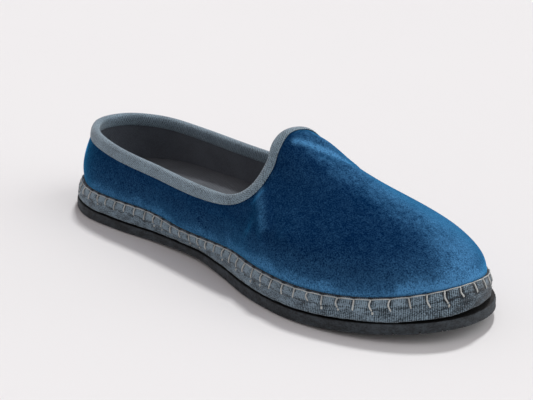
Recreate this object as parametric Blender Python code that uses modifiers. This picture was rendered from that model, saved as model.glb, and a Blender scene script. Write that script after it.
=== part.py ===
"""A friulana slipper for the left foot, built as its maker puts it together.

Metres, +Z up, +X towards the toe, +Y towards the outer side of the foot. The shoe stands on z = 0, with its
origin in the middle of its footprint. Every piece is worked out from one sole outline.
"""

import math
from collections import namedtuple

import bmesh
import bpy
import numpy as np

MM = 0.001

# Driving sizes
SOLE_LENGTH = 268 * MM
TOE_SPRING = 6.0 * MM
SPRING_START = 0.70
WAIST_START = 0.28
WAIST_END = 0.60
ARCH_RISE = 1.2 * MM
WAIST_DIP = 1.5 * MM
WAIST_OVERHANG = 3.6 * MM
OUTER_WAIST_PART = 0.35
TOE_RAND_RISE = 3.6 * MM
TOE_RAND_START = 0.80

# Layers from the floor up
OUTSOLE_HEIGHT = 4.5 * MM
MIDSOLE_HEIGHT = 9.0 * MM
INSOLE_HEIGHT = 2.5 * MM
GAP = 0.3 * MM

# How far each edge lies inside the sole's outline
OUTSOLE_CHAMFER = 0.7 * MM
MIDSOLE_FOOT_INSET = 1.8 * MM
MIDSOLE_BELLY_INSET = 2.1 * MM
MIDSOLE_TOP_INSET = 4.4 * MM
MIDSOLE_ROUND = 1.2 * MM
UPPER_INSET = 4.2 * MM

# Thicknesses of the soft goods
UPPER_WALL = 2.2 * MM
INSOLE_CLEARANCE = 1.1 * MM
TAPE_THICKNESS = 0.8 * MM
TAPE_WIDTH = 5.0 * MM
TAPE_CROWN = 0.4 * MM

# Rounded ends of the outline, as shares of the length and superellipse powers
HEEL_ROUND = 0.18
HEEL_POWER = 2.0
TOE_ROUND = 0.25
TOE_POWER = 2.0

# Curl of the tongue's tip: how far its edge bends down, how far from the edge the bend starts, and where
# round the shoe it begins and is full
TIP_CURL_DROP = 4.2 * MM
TIP_CURL_REACH = 10.0 * MM
TIP_CURL_START = 0.85
TIP_CURL_FULL = 0.97

# Mesh fineness: steps from heel to toe on each side, and steps up each meridian of the upper, which crowd
# towards the collar
SIDE_STEPS = 46
MERIDIAN_STEPS = 17
MERIDIAN_CROWDING = 1.7
FINE_STEPS = 120
SHARP_ANGLE = math.radians(40)

# Half-widths of the sole on both sides of the long axis, in millimetres, by share of the length from the heel
SoleSection = namedtuple("SoleSection", "share outer inner")
SOLE_SECTIONS = [
    SoleSection(0.00, 35.5, 37.5),
    SoleSection(0.18, 36.0, 37.0),
    SoleSection(0.26, 37.0, 35.6),
    SoleSection(0.35, 38.2, 32.6),
    SoleSection(0.45, 39.6, 32.0),
    SoleSection(0.56, 42.0, 36.8),
    SoleSection(0.66, 44.3, 43.4),
    SoleSection(0.75, 45.5, 45.5),
    SoleSection(1.00, 48.0, 43.5),
]

# The upper, in millimetres, by share of the way round from heel to toe. Its meridians are cubic curves
# from the sole's edge to the collar: rise and bulge shape the foot of each curve, reach and drop its head.
UpperSection = namedtuple("UpperSection", "way x inner outer height rise bulge reach drop")
UPPER_SECTIONS = [
    UpperSection(0.0, -125.5, 0.0, 0.0, 40.5, 10.0, 2.2, 3.0, 8.0),
    UpperSection(0.1, -121.0, -12.5, 12.5, 40.3, 10.0, 2.2, 3.0, 8.0),
    UpperSection(0.2, -105.0, -23.0, 23.0, 39.4, 9.5, 2.2, 2.8, 8.0),
    UpperSection(0.3, -79.0, -27.5, 28.0, 37.4, 9.0, 2.2, 2.6, 8.0),
    UpperSection(0.4, -46.0, -28.0, 30.5, 35.5, 8.5, 2.4, 2.4, 7.5),
    UpperSection(0.5, -11.0, -30.0, 32.5, 34.6, 9.0, 2.6, 3.0, 7.5),
    UpperSection(0.6, 13.0, -30.0, 30.0, 36.2, 13.0, 2.4, 8.0, 7.5),
    UpperSection(0.7, 24.0, -26.0, 23.5, 42.4, 18.0, 2.2, 21.0, 7.5),
    UpperSection(0.8, 26.5, -18.6, 16.2, 52.6, 17.6, 1.4, 34.0, 13.5),
    UpperSection(0.9, 25.0, -13.6, 9.0, 60.9, 17.0, 1.2, 45.0, 21.0),
    UpperSection(0.95, 23.6, -8.6, 4.6, 63.6, 17.2, 1.2, 48.0, 22.6),
    UpperSection(1.0, 22.5, -2.0, -2.0, 64.4, 17.4, 1.2, 50.0, 23.5),
]

# Finishes: colour, roughness
VELVET = ((0.030, 0.105, 0.215), 0.85)
BAND_CLOTH = ((0.085, 0.115, 0.140), 0.90)
TAPE_CLOTH = ((0.110, 0.130, 0.150), 0.85)
RUBBER = ((0.028, 0.030, 0.034), 0.70)
SOCK_CLOTH = ((0.060, 0.070, 0.085), 0.90)


# Curves and loops

def cubic_curve(places, values, tangents, at):
    """Read a cubic curve through values with given slopes at any place along it."""
    span = np.clip(np.searchsorted(places, at, side="right") - 1, 0, len(places) - 2)
    width = places[span + 1] - places[span]
    t = (at - places[span]) / width
    start = (1 + 2 * t) * (1 - t) ** 2 * values[span] + t * (1 - t) ** 2 * width * tangents[span]
    end = t**2 * (3 - 2 * t) * values[span + 1] - t**2 * (1 - t) * width * tangents[span + 1]
    return start + end


def smooth_column(places, values, at):
    """Read a table column at any place, on a curve through its rows that never overshoots them."""
    places = np.asarray(places, float)
    values = np.asarray(values, float)
    steps = np.diff(places)
    slopes = np.diff(values) / steps
    tangents = np.zeros(len(places))
    tangents[0] = slopes[0]
    tangents[-1] = slopes[-1]
    for row in range(1, len(places) - 1):
        before, after = slopes[row - 1], slopes[row]
        if before * after > 0:
            left = 2 * steps[row] + steps[row - 1]
            right = steps[row] + 2 * steps[row - 1]
            tangents[row] = (left + right) / (left / before + right / after)
    return cubic_curve(places, values, tangents, at)


def closed_column(ways, inner_side, outer_side, at):
    """Read a column on a smooth closed curve, out along the inner side and back along the outer side."""
    ways = np.asarray(ways, float)
    full_way = 2 * ways[-1]
    ring_ways = np.concatenate([ways, full_way - ways[-2:0:-1]])
    ring_values = np.concatenate([inner_side, outer_side[-2:0:-1]])
    places = np.concatenate([ring_ways - full_way, ring_ways, ring_ways + full_way])
    values = np.concatenate([ring_values, ring_values, ring_values])
    return cubic_curve(places, values, np.gradient(values, places), at)


def side_shares():
    """Shares of the length from heel to toe, closer together at the rounded ends."""
    turn = np.linspace(0.0, math.pi, SIDE_STEPS + 1)
    return 0.5 - 0.5 * np.cos(turn)


def end_rounding(shares):
    """How far the rounded heel and toe draw the outline in, as a factor on the half-width."""
    heel = np.clip(1.0 - shares / HEEL_ROUND, 0.0, 1.0)
    toe = np.clip((shares - 1.0 + TOE_ROUND) / TOE_ROUND, 0.0, 1.0)
    heel_factor = (1.0 - heel**HEEL_POWER) ** (1.0 / HEEL_POWER)
    toe_factor = (1.0 - toe**TOE_POWER) ** (1.0 / TOE_POWER)
    return heel_factor * toe_factor


def sole_loop():
    """The sole's outline as a closed loop: from the heel along the inner side to the toe and back."""
    shares = side_shares()
    places = [section.share for section in SOLE_SECTIONS]
    rounding = end_rounding(shares)
    outer = smooth_column(places, [section.outer for section in SOLE_SECTIONS], shares) * rounding * MM
    inner = smooth_column(places, [section.inner for section in SOLE_SECTIONS], shares) * rounding * MM
    along = (shares - 0.5) * SOLE_LENGTH
    out_along = np.stack([along, -inner], axis=1)
    back_along = np.stack([along, outer], axis=1)[-2:0:-1]
    return np.concatenate([out_along, back_along])


def loop_outward(loop):
    """Unit vectors in plan that point out of a closed loop."""
    tangent = np.roll(loop, -1, axis=0) - np.roll(loop, 1, axis=0)
    outward = np.stack([tangent[:, 1], -tangent[:, 0]], axis=1)
    return outward / np.linalg.norm(outward, axis=1, keepdims=True)


def inset_loop(distance, overhang=0.0):
    """The sole's outline drawn in by a distance, less an overhang at the inner waist."""
    loop = sole_loop()
    side = np.where(loop[:, 1] > 0, OUTER_WAIST_PART, 1.0)
    drawn_in = distance - overhang * waist_part(loop) * side
    return loop - loop_outward(loop) * drawn_in[:, None]


def share_of(along):
    return along / SOLE_LENGTH + 0.5


def spring_height(loop):
    """How far the toe spring lifts each point of a loop."""
    lift = np.clip((share_of(loop[:, 0]) - SPRING_START) / (1.0 - SPRING_START), 0.0, None)
    return TOE_SPRING * lift**2


def waist_part(loop):
    """How far a point is in the waist between heel and ball: 0 outside it, 1 in its middle."""
    way = np.clip((share_of(loop[:, 0]) - WAIST_START) / (WAIST_END - WAIST_START), 0.0, 1.0)
    return np.sin(math.pi * way) ** 2


def arch_height(loop):
    """How far the arch hollows the underside, most on the inner side."""
    side = np.where(loop[:, 1] > 0, OUTER_WAIST_PART, 1.0)
    return ARCH_RISE * waist_part(loop) * side


def rand_height(loop):
    """How far the band round the toe rises towards the tip, above the toe spring."""
    way = np.clip((share_of(loop[:, 0]) - TOE_RAND_START) / (1.0 - TOE_RAND_START), 0.0, None)
    return TOE_RAND_RISE * way**3


def lifted(loop, height, dip=0.0, rand_part=0.0):
    """A loop in plan set at a height, following the toe spring, the waist's dip and the toe's rise."""
    rise = spring_height(loop) + rand_part * rand_height(loop)
    return np.column_stack([loop, rise + height - dip * waist_part(loop)])


# Solids

def new_object(name, mesh, finish, parts):
    """An object for one piece, with its own material, in the shoe's collection."""
    colour, roughness = finish
    material = bpy.data.materials.new(name)
    material.use_nodes = True
    shader = material.node_tree.nodes["Principled BSDF"]
    shader.inputs["Base Color"].default_value = (*colour, 1.0)
    shader.inputs["Roughness"].default_value = roughness
    shader.inputs["Metallic"].default_value = 0.0
    mesh.materials.append(material)
    piece = bpy.data.objects.new(name, mesh)
    parts.objects.link(piece)
    mesh.shade_smooth()
    mesh.set_sharp_from_angle(angle=SHARP_ANGLE)
    return piece


def skin_rows(shape, rows):
    """Join rows of points, each a closed loop, by a band of faces, and return the rows of vertices."""
    verts = [[shape.verts.new(point) for point in row] for row in rows]
    count = len(verts[0])
    for lower, upper in zip(verts, verts[1:]):
        for here in range(count):
            there = (here + 1) % count
            shape.faces.new((lower[here], lower[there], upper[there], upper[here]))
    return verts


def close_across(shape, loop, upward):
    """Close a loop by strips that cross the shoe from its inner to its outer side."""
    count = len(loop)
    for step in range(count // 2):
        corners = [loop[step], loop[step + 1], loop[-step - 1], loop[-step]]
        if step == 0:
            corners = [loop[0], loop[1], loop[-1]]
        elif step == count // 2 - 1:
            corners = [loop[step], loop[step + 1], loop[-step]]
        shape.faces.new(corners if upward else corners[::-1])


def layer_solid(name, rows, finish, parts):
    """A closed layer of the sole from its stacked loops, closed below and above."""
    shape = bmesh.new()
    verts = skin_rows(shape, rows)
    close_across(shape, verts[0], upward=False)
    close_across(shape, verts[-1], upward=True)
    mesh = bpy.data.meshes.new(name)
    shape.to_mesh(mesh)
    shape.free()
    return new_object(name, mesh, finish, parts)


def wall_solid(name, rows, thickness, offset, finish, parts):
    """A closed wall from an open surface of stacked loops, thickened to one side."""
    shape = bmesh.new()
    skin_rows(shape, rows)
    mesh = bpy.data.meshes.new(name)
    shape.to_mesh(mesh)
    shape.free()
    piece = new_object(name, mesh, finish, parts)
    wall = piece.modifiers.new("wall", "SOLIDIFY")
    wall.thickness = thickness
    wall.offset = offset
    wall.use_even_offset = True
    return piece


# Sole

def make_outsole(parts):
    edge = inset_loop(0.0)
    foot = inset_loop(OUTSOLE_CHAMFER)
    ground = lifted(foot, 0.0)
    ground[:, 2] += arch_height(foot)
    low_edge = lifted(edge, OUTSOLE_CHAMFER)
    low_edge[:, 2] += arch_height(edge)
    rows = [
        ground,
        low_edge,
        lifted(edge, OUTSOLE_HEIGHT - OUTSOLE_CHAMFER),
        lifted(foot, OUTSOLE_HEIGHT),
    ]
    return layer_solid("outsole", rows, RUBBER, parts)


def make_midsole(parts):
    base = OUTSOLE_HEIGHT + GAP
    top = base + MIDSOLE_HEIGHT
    shoulder = top - MIDSOLE_ROUND / 2
    belly = inset_loop(MIDSOLE_BELLY_INSET, WAIST_OVERHANG / 2)
    rows = [
        lifted(inset_loop(MIDSOLE_FOOT_INSET + MIDSOLE_ROUND), base),
        lifted(inset_loop(MIDSOLE_FOOT_INSET), base + MIDSOLE_ROUND),
        lifted(belly, base + MIDSOLE_HEIGHT / 2, WAIST_DIP / 2, 0.5),
        lifted(inset_loop(MIDSOLE_TOP_INSET - MIDSOLE_ROUND, WAIST_OVERHANG), shoulder, WAIST_DIP, 1.0),
        lifted(inset_loop(MIDSOLE_TOP_INSET, WAIST_OVERHANG), top, WAIST_DIP, 1.0),
    ]
    return layer_solid("cloth_midsole", rows, BAND_CLOTH, parts)


def upper_base():
    """Height of the upper's lower edge above the floor, before the toe spring."""
    return OUTSOLE_HEIGHT + GAP + MIDSOLE_HEIGHT + GAP


def make_insole(parts):
    edge = inset_loop(UPPER_INSET + UPPER_WALL + INSOLE_CLEARANCE, WAIST_OVERHANG)
    base = upper_base()
    rows = [lifted(edge, base, WAIST_DIP, 1.0), lifted(edge, base + INSOLE_HEIGHT, WAIST_DIP, 1.0)]
    return layer_solid("insole", rows, SOCK_CLOTH, parts)


# Upper

def round_ways():
    """Each station's way round the shoe: 0 at the heel, 1 at the toe, 2 back at the heel."""
    return np.arange(2 * SIDE_STEPS) / SIDE_STEPS


def upper_column(inner_name, outer_name):
    """A column of the upper's table read at every station round the shoe, in metres."""
    inner_side = np.array([getattr(section, inner_name) for section in UPPER_SECTIONS])
    outer_side = np.array([getattr(section, outer_name) for section in UPPER_SECTIONS])
    ways = [section.way for section in UPPER_SECTIONS]
    return closed_column(ways, inner_side, outer_side, round_ways()) * MM


def collar_loop():
    """The collar's edge as a closed loop in space."""
    columns = [upper_column("x", "x"), upper_column("inner", "outer"), upper_column("height", "height")]
    return np.stack(columns, axis=1)


def tip_drop():
    """How far the collar's edge bends down at each station: only round the tongue's tip."""
    from_heel = 1.0 - np.abs(1.0 - round_ways())
    way = np.clip((from_heel - TIP_CURL_START) / (TIP_CURL_FULL - TIP_CURL_START), 0.0, 1.0)
    return TIP_CURL_DROP * way**2 * (3 - 2 * way)


def way_to_collar(rows):
    """How far each point of the upper lies from the collar along its meridian."""
    pieces = np.linalg.norm(np.diff(rows, axis=0), axis=2)
    return np.vstack([np.cumsum(pieces[::-1], axis=0)[::-1], np.zeros(pieces.shape[1])])


def meridian_points(steps):
    """Points of the upper's outer face, in rows from the sole's edge to the collar, each a closed loop."""
    plan = inset_loop(UPPER_INSET, WAIST_OVERHANG)
    foot = lifted(plan, upper_base(), WAIST_DIP, 1.0)
    collar = collar_loop()
    outward = np.column_stack([loop_outward(plan), np.zeros(len(plan))])
    up = np.array([0.0, 0.0, 1.0])
    towards_foot = (foot - collar) * np.array([1.0, 1.0, 0.0])
    towards_foot /= np.linalg.norm(towards_foot, axis=1, keepdims=True)
    rise = upper_column("rise", "rise")[:, None]
    bulge = upper_column("bulge", "bulge")[:, None]
    reach = upper_column("reach", "reach")[:, None]
    drop = upper_column("drop", "drop")[:, None]
    low_handle = foot + up * rise + outward * bulge
    high_handle = collar + towards_foot * reach - up * drop
    head = collar + up * tip_drop()[:, None]
    rows = []
    for share in np.linspace(0.0, 1.0, steps + 1):
        rest = (1.0 - share) ** MERIDIAN_CROWDING
        t = 1.0 - rest
        low = rest**3 * foot + 3 * rest**2 * t * low_handle
        high = 3 * rest * t**2 * high_handle + t**3 * head
        rows.append(low + high)
    rows = np.array(rows)
    near_edge = np.clip(1.0 - way_to_collar(rows) / TIP_CURL_REACH, 0.0, 1.0)
    rows[:, :, 2] -= tip_drop() * near_edge**2
    return rows


def make_upper(parts):
    rows = meridian_points(MERIDIAN_STEPS)
    return wall_solid("upper", rows, UPPER_WALL, -1.0, VELVET, parts)


def below_collar(fine_rows, distance):
    """The loop on the upper's outer face that lies a distance below the collar along each meridian."""
    downward = fine_rows[::-1]
    pieces = np.linalg.norm(np.diff(downward, axis=0), axis=2)
    travelled = np.vstack([np.zeros(pieces.shape[1]), np.cumsum(pieces, axis=0)])
    loop = []
    for station in range(downward.shape[1]):
        place = [np.interp(distance, travelled[:, station], downward[:, station, axis]) for axis in range(3)]
        loop.append(place)
    return np.array(loop)


def face_normals(lower, upper):
    """Unit normals of the upper's outer face, from two neighbouring loops on it."""
    along = np.roll(upper, -1, axis=0) - np.roll(upper, 1, axis=0)
    normal = np.cross(along, upper - lower)
    return normal / np.linalg.norm(normal, axis=1, keepdims=True)


def make_binding(parts):
    """The tape: a strip up the outside, over the collar's edge and down the inside, thickened outwards."""
    fine_rows = meridian_points(FINE_STEPS)
    edge = below_collar(fine_rows, 0.0)
    middle = below_collar(fine_rows, TAPE_WIDTH / 2)
    low = below_collar(fine_rows, TAPE_WIDTH)
    normal = face_normals(middle, edge)
    low_normal = face_normals(low, middle)
    over = edge - middle
    over /= np.linalg.norm(over, axis=1, keepdims=True)
    inside = UPPER_WALL + GAP
    rows = [
        low + low_normal * GAP,
        middle + normal * GAP,
        edge + normal * GAP + over * GAP,
        edge - normal * UPPER_WALL / 2 + over * (GAP + TAPE_CROWN),
        edge - normal * inside + over * GAP,
        middle - normal * inside,
        low - low_normal * inside,
    ]
    return wall_solid("collar_binding", rows, TAPE_THICKNESS, 1.0, TAPE_CLOTH, parts)


def main():
    for old in list(bpy.data.objects):
        bpy.data.objects.remove(old, do_unlink=True)
    parts = bpy.data.collections.new("friulana")
    bpy.context.scene.collection.children.link(parts)
    make_outsole(parts)
    make_midsole(parts)
    make_insole(parts)
    make_upper(parts)
    make_binding(parts)


main()
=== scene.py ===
"""The looks of a friulana slipper: blue velvet, a woven band, collar tape, tyre rubber and hand stitching."""
import math
import random

import bmesh
import bpy
from bmesh.types import BMEdge, BMFace, BMVert
from mathutils import Matrix, Vector, kdtree, noise
from mathutils.bvhtree import BVHTree


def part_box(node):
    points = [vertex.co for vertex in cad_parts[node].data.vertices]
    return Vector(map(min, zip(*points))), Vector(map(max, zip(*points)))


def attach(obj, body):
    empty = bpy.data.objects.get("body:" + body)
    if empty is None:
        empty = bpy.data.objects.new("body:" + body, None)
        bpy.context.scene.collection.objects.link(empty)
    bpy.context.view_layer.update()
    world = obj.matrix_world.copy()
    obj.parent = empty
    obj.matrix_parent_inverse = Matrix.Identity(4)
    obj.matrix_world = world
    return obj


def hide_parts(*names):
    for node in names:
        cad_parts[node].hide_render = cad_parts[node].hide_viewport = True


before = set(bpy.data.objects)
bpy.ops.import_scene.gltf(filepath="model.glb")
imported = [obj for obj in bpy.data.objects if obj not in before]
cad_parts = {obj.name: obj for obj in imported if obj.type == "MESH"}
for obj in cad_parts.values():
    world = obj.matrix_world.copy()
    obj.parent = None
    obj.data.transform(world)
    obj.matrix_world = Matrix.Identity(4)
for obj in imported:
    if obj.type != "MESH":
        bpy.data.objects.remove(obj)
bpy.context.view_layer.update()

MM = 0.001
UP = Vector((0.0, 0.0, 1.0))
MIDDLE = 0.5

# Reading the frame: corners closer than these are one, a rim is sharper than this, and how triangles pair up
WELD = 0.001 * MM
CLOSE_CORNERS = 0.02 * MM
MOST_CORNERS = 4
RIM_ANGLE = math.radians(55)
SHARP_ANGLE = math.radians(35)
PAIR_FACE_ANGLE = math.radians(50)
PAIR_SHAPE_ANGLE = math.radians(90)
PAIR_ORDER = 1.5

# Round the shoe: points on each closed line, how far inside, above or below it a line of sight starts,
# and which points are kept to smooth an uneven line
STATIONS = 960
INSIDE = 9.0 * MM
UNDER_WELT = 3.5 * MM
WELT_GAP = 0.3 * MM
FAR = 1.0
UNDER_VELVET = 1.2 * MM
EDGE_EVERY = 6
ROW_EVERY = 8

# Woven band: rows up its side as shares of its height, and how far the cloth stands off the midsole's side
BAND_STEPS = 30
NEAR_COLUMNS = 2
BAND_LOW_SHARE = 0.02
BAND_SWELL = 0.30 * MM
BAND_FOOT_SWELL = 1.3 * MM
BAND_TOE_DRAW = 1.8 * MM
OUTER_FRONT = Vector((0.612, 0.791, 0.0))
BAND_DRAW_START = 72.0 * MM
BAND_DRAW_END = 94.0 * MM
BAND_CURL = 1.0 * MM
BAND_CURL_SHARE = 0.09
BAND_FOLD_SHARE = 0.37
BAND_FOLD_DEPTH = 0.75 * MM
BAND_FOLD_REACH = 0.08
BAND_FOLD_SIZE = 11.0 * MM
BAND_FOLD_COVER = 0.5
BAND_WRINKLE = 0.30 * MM
BAND_WRINKLE_LENGTH = 9.0 * MM
BAND_WRINKLE_HEIGHT = 1.3 * MM
BAND_SLACK = 0.20 * MM
BAND_SLACK_SIZE = 5.0 * MM
BAND_TOE_LIFT = 2.0 * MM
TOE_LIFT_START = 112.0 * MM
TOE_LIFT_END = 133.0 * MM

# Blanket stitches on the band
STITCH_PITCH = 7.3 * MM
STITCH_SEED = 11
STITCH_JITTER = 0.35 * MM
EDGE_DROP = 1.5 * MM
EDGE_SAG = 0.08 * MM
EDGE_SHARE = 0.86
LEG_FOOT_SHARE = 0.59
LEG_FOOT_JITTER = 0.05
LEG_LEAN = 0.9 * MM
LEG_LEAN_RANGE = (0.3, 1.5)
LEG_BOW = 0.75 * MM
LEG_BOW_RANGE = (-0.2, 1.4)
LEG_STEPS = 6
KNOT_DROP = 1.6 * MM
KNOT_DROP_RANGE = (0.8, 1.2)
KNOT_ASIDE = 1.0 * MM
KNOT_ASIDE_RANGE = (0.0, 0.6)
KNOT_HALF = 0.45 * MM
THREAD_RADIUS = 0.34 * MM
THREAD_PROUD = 0.65
THREAD_SUNK = 0.8
THREAD_ROUNDING = 1
EDGE_THREAD = 0.62
KNOT_THREAD = 1.35
STITCH_PULL = 0.40 * MM
STITCH_PULL_REACH = 2.0 * MM
STITCH_HOLD_SHARE = 0.39
THREAD_END_EVERY = 3

# Tyre sole: the lines between its ribs, in millimetres across it, its bricks and grooves, and its rough-cut
# edge, whose rows give a share of the height and an inset in millimetres
TREAD_LINES = [-37.5, -31.0, -29.0, -21.5, -14.0, -12.2, -4.5, 4.5, 12.2, 14.0, 21.5, 29.0, 31.0, 37.5]
WIDE_GROOVE = 2.5 * MM
BRICK_LIMIT = 30.0 * MM
RIB_LIMIT = 4.5 * MM
BRICK_PITCH = 11.5 * MM
BRICK_LEAN = 0.16
BRICK_STAGGER = 0.5
RIB_PITCH = 46.0 * MM
GROOVE_HALF = 0.65 * MM
GROOVE_DEPTH = 1.7 * MM
NOTCH_DEPTH = 0.9 * MM
SMALLEST_BRICK = 6.0e-6
SOLE_SIDE_ROWS = [(0.30, 0.02), (0.45, 0.06), (0.60, 0.02), (0.75, 0.06), (0.88, 0.16), (0.95, 0.50)]
SOLE_TOP_INSET = 12.0 * MM
SOLE_TOP_FALL = 0.9 * MM
SOLE_INSIDE = 0.985
SOLE_FEEL = 3.0
EDGE_RUBBER = 0
GROOVE_SHADE_RUBBER = 1
TREAD_RUBBER = 2
CUT_ROUGHNESS = 0.45 * MM
CUT_LEAST = 0.2
CUT_GRAIN = 2.6 * MM

# Running stitches under the sole: rows by distance from the sole's edge, and lines near its middle, both
# in millimetres; a stitch's shape gives shares of its length and whether it is sunk there
STITCH_ROWS = [4.0, 11.0, 17.0, 22.5, 27.5]
SOLE_STITCH_PITCH = 9.2 * MM
SOLE_STITCH_LENGTH = 6.4 * MM
SOLE_THREAD_RADIUS = 0.54 * MM
SOLE_THREAD_PROUD = 0.25 * MM
SOLE_THREAD_SUNK = 0.9 * MM
SOLE_STITCH_SHAPE = [(0.0, 1), (0.12, 0), (0.5, 0), (0.88, 0), (1.0, 1)]
TREAD_FEELER = 1.6 * MM
SLOT_SIZE = Vector((0.7 * MM, 1.7 * MM, 0.12 * MM))
CENTRE_STITCHES = [((-128.5, -7.0), (-119.5, -4.0)), ((131.5, -3.0), (67.0, -1.0))]

# Upper: creases, in millimetres, with how far each stands out and how far it reaches
CREASES = [
    ([(32, -27, 41), (36, -30, 38), (41, -33, 35), (47, -37, 30)], 1.2, 6.0),
    ([(0, -34, 22), (10, -34, 25), (20, -34, 27), (28, -34, 28)], -1.6, 10.0),
    ([(36, 4, 61), (41, 11, 56), (44, 18, 50)], 0.8, 5.0),
    ([(44, -2, 59), (50, 6, 55), (54, 14, 50)], -0.5, 5.0),
    ([(60, -36, 31), (70, -38, 26), (80, -39, 21)], 0.35, 6.0),
    ([(-130, 0, 16), (-128, 0, 28), (-126, 0, 38)], -0.4, 1.4),
    ([(-60, -30, 26), (-40, -31, 29), (-20, -32, 27)], -0.7, 7.0),
    ([(10, 34, 26), (25, 34, 32), (38, 33, 34)], -0.8, 7.0),
]
# Painted highlights along the velvet's folds: lines like the creases, how pale and how far each reaches
FOLD_HIGHLIGHTS = [
    ([(28, -24, 44), (33, -28, 40), (39, -32, 36), (45, -36, 31)], 0.26, 3.4),
    ([(33, -8, 62), (37, -4, 61), (43, 1, 58), (51, 6, 54)], 0.56, 3.3),
    ([(35, 6, 60), (42, 12, 55), (50, 18, 50)], 0.20, 6.0),
]
# Upper and tape: slow waves in the cloth, how it settles at its rims, the way the velvet's painted light
# faces and its fade toward the heel, and the tape's press
CLOTH_WAVE = 0.35 * MM
CLOTH_WAVE_SIZE = 26.0 * MM
UPPER_LEVELS = 2
RIM_HARDNESS = 0.75
SETTLE_HEIGHT = 8.0 * MM
VELVET_SIDE = 0
LINING_SIDE = 1
VELVET_TURN_IN = 0.35 * MM
VELVET_TURN_REACH = 3.0 * MM
SIDE_LIGHT_TOWARD = OUTER_FRONT
PAINTED_LIGHT_FADE_START = 15.0 * MM
PAINTED_LIGHT_FADE_END = 100.0 * MM
PAINTED_LIGHT_LEAST = 0.50
UNDER_TAPE = 5.6 * MM
CLEAR_OF_TAPE = 9.5 * MM
TAPE_LEVELS = 2
TAPE_PRESS = 0.60
TAPE_PRESS_START = 2.2 * MM
TAPE_PRESS_END = 5.2 * MM

# Sock: points round its outline, the grid that it is cut into and its dish along the middle
SOCK_POINTS = 240
SOCK_GRID = 5.0 * MM
SOCK_INSIDE = 0.985
SOCK_DISH_SHARE = 0.85
SOCK_DISH = 0.9 * MM
SOCK_WAVE = 0.25 * MM
SOCK_WAVE_SIZE = 14.0 * MM

# A Mix node's sockets when it mixes colours
MIX_FACTOR = 0
MIX_FIRST = 6
MIX_SECOND = 7
MIX_RESULT = 2

# Grains of the finishes: size, finer grains on it and, for some, how much it is squeezed along each axis
PILE = (0.62 * MM, 1.0)
BRUSHED = (2.4 * MM, 2.0)
PATCHES = (16.0 * MM, 3.0)
WANDER = (5.0 * MM, 2.0)
BAND_FIBRES = (0.5 * MM, 3.0, (0.6, 1.0, 1.0))
BAND_STAINS = (2.6 * MM, 3.0, (0.5, 1.0, 1.0))
TAPE_FIBRES = (0.5 * MM, 2.0)
TAPE_WEAR = (12.0 * MM, 2.0)
THREAD_TWIST = (0.45 * MM, 2.0)
THREAD_SOIL = (5.0 * MM, 3.0)
RUBBER_PITS = (1.0 * MM, 4.0, (1.0, 1.0, 1.6))
RUBBER_BLOOM = (14.0 * MM, 3.0)
RUBBER_SCUFFS = (3.0 * MM, 2.0, (0.6, 0.6, 1.4))
COTTON_FIBRES = (0.8 * MM, 3.0)
COTTON_WEAR = (18.0 * MM, 3.0)
FLOOR_TONE = (0.35, 2.0)

# Colours of the finishes, dark and pale
VELVET_COLOURS = ((0.0002, 0.012, 0.052), (0.074, 0.242, 0.472))
BAND_COLOURS = ((0.012, 0.018, 0.024), (0.245, 0.338, 0.412))
TAPE_COLOURS = ((0.026, 0.037, 0.048), (0.300, 0.410, 0.490))
BAND_THREAD_COLOURS = ((0.26, 0.275, 0.27), (0.66, 0.68, 0.66))
SOLE_THREAD_COLOURS = ((0.30, 0.29, 0.26), (0.66, 0.64, 0.58))
EDGE_COLOURS = ((0.010, 0.012, 0.014), (0.044, 0.055, 0.065))
# Grooves and the sole's hidden top are painted near black: painted shade in recesses
GROOVE_SHADE_COLOURS = ((0.002, 0.002, 0.002), (0.006, 0.006, 0.006))
TREAD_COLOURS = ((0.006, 0.007, 0.009), (0.030, 0.035, 0.041))
# Stitch slots: painted shade where the thread sinks into the rubber
SLOT_SHADE_COLOURS = ((0.002, 0.002, 0.002), (0.008, 0.008, 0.008))
LINING_COLOURS = ((0.060, 0.070, 0.085), (0.15, 0.17, 0.20))
SOCK_COLOURS = ((0.050, 0.058, 0.068), (0.125, 0.140, 0.16))
FLOOR_COLOURS = ((0.775, 0.775, 0.780), (0.790, 0.790, 0.795))

# Each finish's roughness, as its least and its rise with the grain, and its relief, as depth and strength
VELVET_ROUGHNESS = (0.82, 0.15)
BAND_ROUGHNESS = (0.85, 0.12)
TAPE_ROUGHNESS = (0.86, 0.10)
THREAD_ROUGHNESS = (0.60, 0.30)
RUBBER_ROUGHNESS = (0.55, 0.35)
COTTON_ROUGHNESS = (0.85, 0.10)
FLOOR_ROUGHNESS = (0.90, 0.05)
VELVET_RELIEF = (0.30 * MM, 0.7)
BAND_RELIEF = (0.30 * MM, 0.9)
TAPE_RELIEF = (0.18 * MM, 0.9)
THREAD_RELIEF = (0.15 * MM, 0.7)
RUBBER_RELIEF = (0.35 * MM, 0.8)
COTTON_RELIEF = (0.20 * MM, 0.7)
FLOOR_RELIEF = (0.10 * MM, 0.05)

# Velvet: shares of patches, brushed spots and pile in its turn to the side light, height and mottle, and how
# pale each zone of painted light is
SIDE_LIGHT_SHARES = (0.35, 0.26)
SIDE_LIGHT_RISE = (-0.08, 0.40)
SIDE_LIGHT_FALL = (0.46, 0.80)
SIDE_LIGHT_FALL_SHARE = 0.85
HEIGHT_SHARES = (16.0 * MM, 6.0 * MM)
# Heights up from the welt where painted bounce light from the floor, together with flattened pile, makes the
# velvet's lower edge paler
EDGE_BOUNCE_ZONE = (0.0, 6.0 * MM)
FOOT_BOUNCE_ZONE = (2.0 * MM, 18.0 * MM)
MOTTLE_SHARES = (0.8, 1.25, 3.0)
ZONE_SHARES = (0.37, 0.66, 0.24)
PALE_EVERYWHERE = 0.06
MOTTLE_ON_PALE = 0.75
MOTTLE_ON_DARK = 0.10
LEAST_LIGHT = 0.01
BRUSHED_RELIEF = 0.5
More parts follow.
